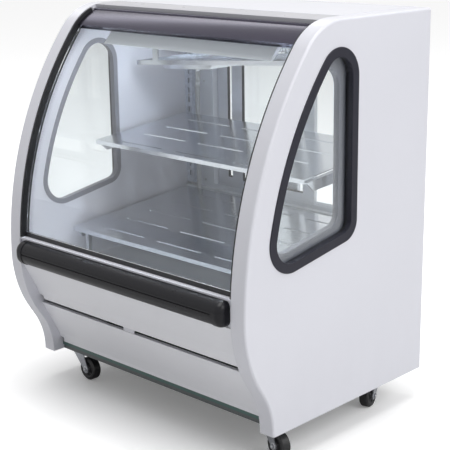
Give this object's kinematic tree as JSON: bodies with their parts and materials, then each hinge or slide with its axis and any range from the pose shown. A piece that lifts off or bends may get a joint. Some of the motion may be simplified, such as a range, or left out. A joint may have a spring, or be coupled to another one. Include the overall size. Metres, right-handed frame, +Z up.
{
  "type": "refrigerated display case",
  "caption": "Refrigerated display case with curved lift-up front glass, windowed end panels, slotted shelf and deck, sliding rear doors, on swivel casters.",
  "frame": {"origin": "on the floor under the middle of the case's bounding box", "axes": "+Z up, the glass front faces -Y, +X to the right seen from the front"},
  "size_m": [1.006, 0.816, 1.196],
  "materials": {
    "white_panel": "semi-gloss white enamel",
    "grey_trim": "satin grey",
    "window_rubber": "matte black rubber",
    "seal_rubber": "matte black rubber",
    "reveal_grey": "matte grey",
    "clear_glass": "clear polished",
    "hinge_profile": "dark satin anodised",
    "bumper_black": "semi-matte black",
    "silver_panel": "satin silver grey",
    "base_strip": "dark green grey",
    "liner": "satin light grey",
    "stainless": "brushed stainless",
    "upright_zinc": "galvanised",
    "coil_metal": "bare fins",
    "lamp": "milky diffuser",
    "hose": "translucent grey hose",
    "rear_grey": "satin warm grey",
    "rear_white": "semi-gloss white enamel",
    "door_frame": "dark anodised",
    "control_grey": "matte dark grey",
    "knob_black": "satin black",
    "chassis": "dark grey paint",
    "compressor_black": "gloss black",
    "shroud": "dark grey",
    "fan": "stamped",
    "caster_zinc": "zinc plated",
    "caster_tyre": "matte black rubber"
  },
  "bodies": {
    "cabinet": {"end_panel_left": "white_panel", "end_panel_right": "white_panel", "window_gasket_left": "window_rubber", "window_gasket_right": "window_rubber", "window_outer_glass_left": "clear_glass", "window_outer_glass_right": "clear_glass", "window_inner_glass_left": "clear_glass", "window_inner_glass_right": "clear_glass", "window_reveal_left": "reveal_grey", "window_reveal_right": "reveal_grey", "glass_side_seal_left": "seal_rubber", "glass_side_seal_right": "seal_rubber", "bumper_cap_left": "bumper_black", "bumper_cap_right": "bumper_black", "shelf_bracket_left": "stainless", "shelf_bracket_right": "stainless", "shelf_upright_left": "upright_zinc", "shelf_upright_right": "upright_zinc", "top_front_strip": "grey_trim", "top_panel": "white_panel", "ceiling_panel": "liner", "ceiling_light": "lamp", "front_sill": "white_panel", "bumper_bar": "bumper_black", "upper_front_panel": "silver_panel", "lower_front_panel": "silver_panel", "base_front_strip": "base_strip", "liner_tub": "liner", "deck": "stainless", "mid_shelf": "stainless", "drip_tray": "stainless", "evaporator_coil": "coil_metal", "drain_hose": "hose", "rear_frame": "rear_grey", "rear_lower_panel": "rear_white", "control_box": "control_grey", "cord_gland": "control_grey", "base_frame": "chassis", "compressor": "compressor_black", "condenser_coil": "coil_metal", "fan_shroud": "shroud", "fan_motor": "compressor_black"},
    "front_glass_lid": {"front_glass": "clear_glass", "glass_hinge_profile": "hinge_profile", "glass_foot_trim": "seal_rubber"},
    "rear_door_left": {"door_left_frame": "door_frame", "door_left_glass": "clear_glass"},
    "rear_door_right": {"door_right_frame": "door_frame", "door_right_glass": "clear_glass"},
    "condenser_fan": {"fan_blade": "fan"},
    "thermostat": {"thermostat_knob": "knob_black"},
    "rocker": {"power_switch": "knob_black"},
    "caster_front_left": {"caster_fork_front_left": "caster_zinc"},
    "caster_roller_front_left": {"caster_wheel_front_left": "caster_tyre"},
    "caster_front_right": {"caster_fork_front_right": "caster_zinc"},
    "caster_roller_front_right": {"caster_wheel_front_right": "caster_tyre"},
    "caster_rear_left": {"caster_fork_rear_left": "caster_zinc"},
    "caster_roller_rear_left": {"caster_wheel_rear_left": "caster_tyre"},
    "caster_rear_right": {"caster_fork_rear_right": "caster_zinc"},
    "caster_roller_rear_right": {"caster_wheel_rear_right": "caster_tyre"}
  },
  "joints": [
    {"name": "front_glass_lift", "type": "hinge", "parent": "cabinet", "child": "front_glass_lid", "pos_m": [0, -0.04142, 1.17476], "axis": [-1, 0, 0], "range_deg": [0, 65]},
    {"name": "rear_door_left_slide", "type": "slide", "parent": "cabinet", "child": "rear_door_left", "axis": [1, 0, 0], "range_m": [0, 0.32]},
    {"name": "rear_door_right_slide", "type": "slide", "parent": "cabinet", "child": "rear_door_right", "axis": [1, 0, 0], "range_m": [-0.084, 0.236]},
    {"name": "condenser_fan_spin", "type": "hinge", "parent": "cabinet", "child": "condenser_fan", "pos_m": [0.15, 0.266, 0.198], "axis": [0, 1, 0], "continuous": true},
    {"name": "thermostat_turn", "type": "hinge", "parent": "cabinet", "child": "thermostat", "pos_m": [-0.3, 0.3935, 0.32], "axis": [0, 1, 0], "range_deg": [0, 270]},
    {"name": "power_rocker", "type": "hinge", "parent": "cabinet", "child": "rocker", "pos_m": [-0.25, 0.3795, 0.32], "axis": [1, 0, 0], "range_deg": [-16, 0]},
    {"name": "caster_swivel_front_left", "type": "hinge", "parent": "cabinet", "child": "caster_front_left", "pos_m": [-0.412, -0.181, 0.086], "axis": [0, 0, 1], "continuous": true},
    {"name": "caster_roll_front_left", "type": "hinge", "parent": "caster_front_left", "child": "caster_roller_front_left", "pos_m": [-0.37402, -0.18233, 0.0375], "axis": [-0.0349, -0.9994, 0], "continuous": true},
    {"name": "caster_swivel_front_right", "type": "hinge", "parent": "cabinet", "child": "caster_front_right", "pos_m": [0.412, -0.181, 0.086], "axis": [0, 0, 1], "continuous": true},
    {"name": "caster_roll_front_right", "type": "hinge", "parent": "caster_front_right", "child": "caster_roller_front_right", "pos_m": [0.44917, -0.1889, 0.0375], "axis": [-0.2079, -0.9781, 0], "continuous": true},
    {"name": "caster_swivel_rear_left", "type": "hinge", "parent": "cabinet", "child": "caster_rear_left", "pos_m": [-0.412, 0.288, 0.086], "axis": [0, 0, 1], "continuous": true},
    {"name": "caster_roll_rear_left", "type": "hinge", "parent": "caster_rear_left", "child": "caster_roller_rear_left", "pos_m": [-0.393, 0.25509, 0.0375], "axis": [-0.866, -0.5, 0], "continuous": true},
    {"name": "caster_swivel_rear_right", "type": "hinge", "parent": "cabinet", "child": "caster_rear_right", "pos_m": [0.412, 0.288, 0.086], "axis": [0, 0, 1], "continuous": true},
    {"name": "caster_roll_rear_right", "type": "hinge", "parent": "caster_rear_right", "child": "caster_roller_rear_right", "pos_m": [0.42184, 0.25129, 0.0375], "axis": [-0.9659, -0.2588, 0], "continuous": true}
  ]
}
